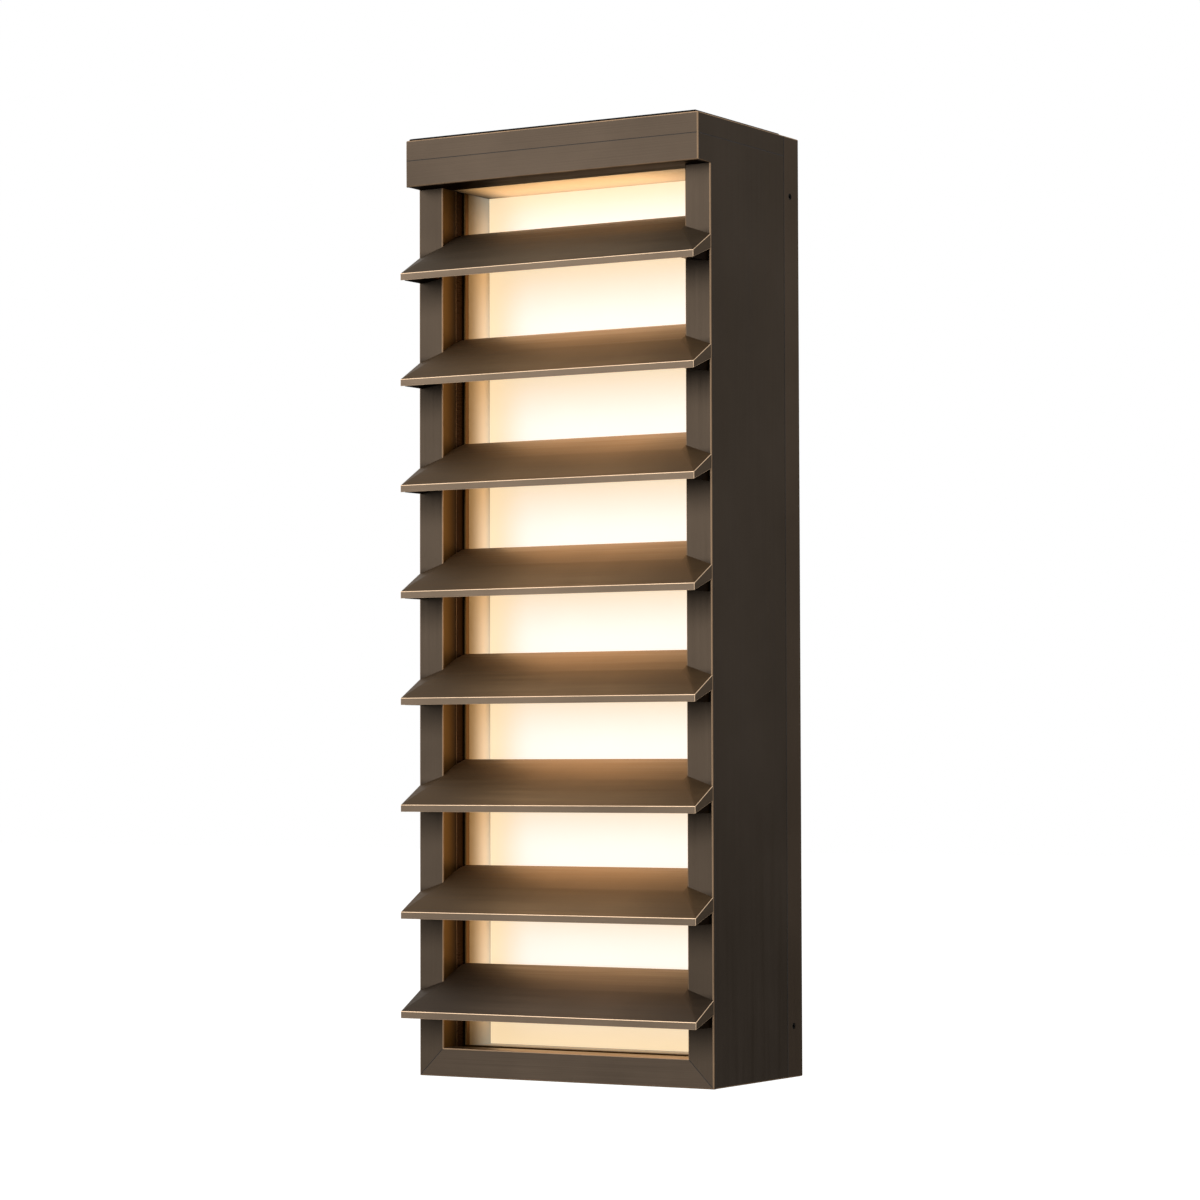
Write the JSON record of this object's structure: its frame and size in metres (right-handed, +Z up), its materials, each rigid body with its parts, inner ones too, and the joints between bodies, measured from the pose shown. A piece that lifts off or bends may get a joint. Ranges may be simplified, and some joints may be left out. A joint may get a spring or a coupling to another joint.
{
  "type": "outdoor wall light",
  "caption": "Tall outdoor wall light in brushed dark bronze: arched louvres over a glowing opal panel, under a square hood.",
  "frame": {"origin": "on the wall plane at the middle of the body's height and width, midway between the two junction-box screws", "axes": "+X right, +Y into the wall, +Z up; the louvres face -Y"},
  "size_m": [0.22, 0.139, 0.6112],
  "materials": {
    "bronze": "brushed, dark bronze",
    "bronze_strip": "brushed, lighter bronze",
    "black": "matt black",
    "gold": "satin, warm gold",
    "liner": "matt cream reflector",
    "opal": "satin opal, lit from behind",
    "led": "phosphor",
    "zinc": "zinc plated",
    "white_tray": "white enamel",
    "plastic": "moulded",
    "rubber": "matt",
    "earth_green": "green"
  },
  "bodies": {
    "wall_pan": {"wall_plate": "zinc", "rear_strip_left": "bronze_strip", "rear_strip_right": "bronze_strip", "rear_strip_top": "bronze_strip", "rear_strip_bottom": "bronze_strip", "set_screws_left": "black", "set_screws_right": "black", "wall_gasket": "rubber", "cable_grommet": "rubber", "earth_screw": "earth_green"},
    "lantern": {"stile_left": "bronze", "stile_right": "bronze", "bottom_rail": "bronze", "top_cap": "bronze", "roof_plate": "black", "hood_front": "bronze", "side_panel_left": "bronze", "side_panel_right": "bronze", "bottom_panel": "bronze", "louvre_1": "bronze", "louvre_2": "bronze", "louvre_3": "bronze", "louvre_4": "bronze", "louvre_5": "bronze", "louvre_6": "bronze", "louvre_7": "bronze", "louvre_8": "bronze", "louvre_brackets_left": "bronze", "louvre_brackets_right": "bronze", "louvre_rail_left": "black", "louvre_rail_right": "black", "sill_bar": "black", "bead_left": "gold", "bead_right": "gold", "bead_bottom": "gold", "liner_left": "liner", "liner_right": "liner", "liner_top": "liner", "liner_bottom": "liner", "diffuser": "opal", "diffuser_gasket": "rubber", "led_tray": "white_tray", "led_board_left": "plastic", "led_board_right": "plastic", "led_packages": "led", "driver": "plastic", "driver_screws": "zinc", "terminal_block": "plastic", "input_leads": "rubber", "output_leads": "rubber", "lead_bush": "rubber", "corner_blocks_top": "zinc", "corner_blocks_bottom": "zinc", "cap_screws": "black", "bottom_screws": "black", "tongue_left": "zinc", "tongue_right": "zinc"}
  },
  "joints": [
    {"name": "pull_off", "type": "slide", "parent": "wall_pan", "child": "lantern", "axis": [0, -1, 0], "range_m": [0, 0.06]}
  ]
}
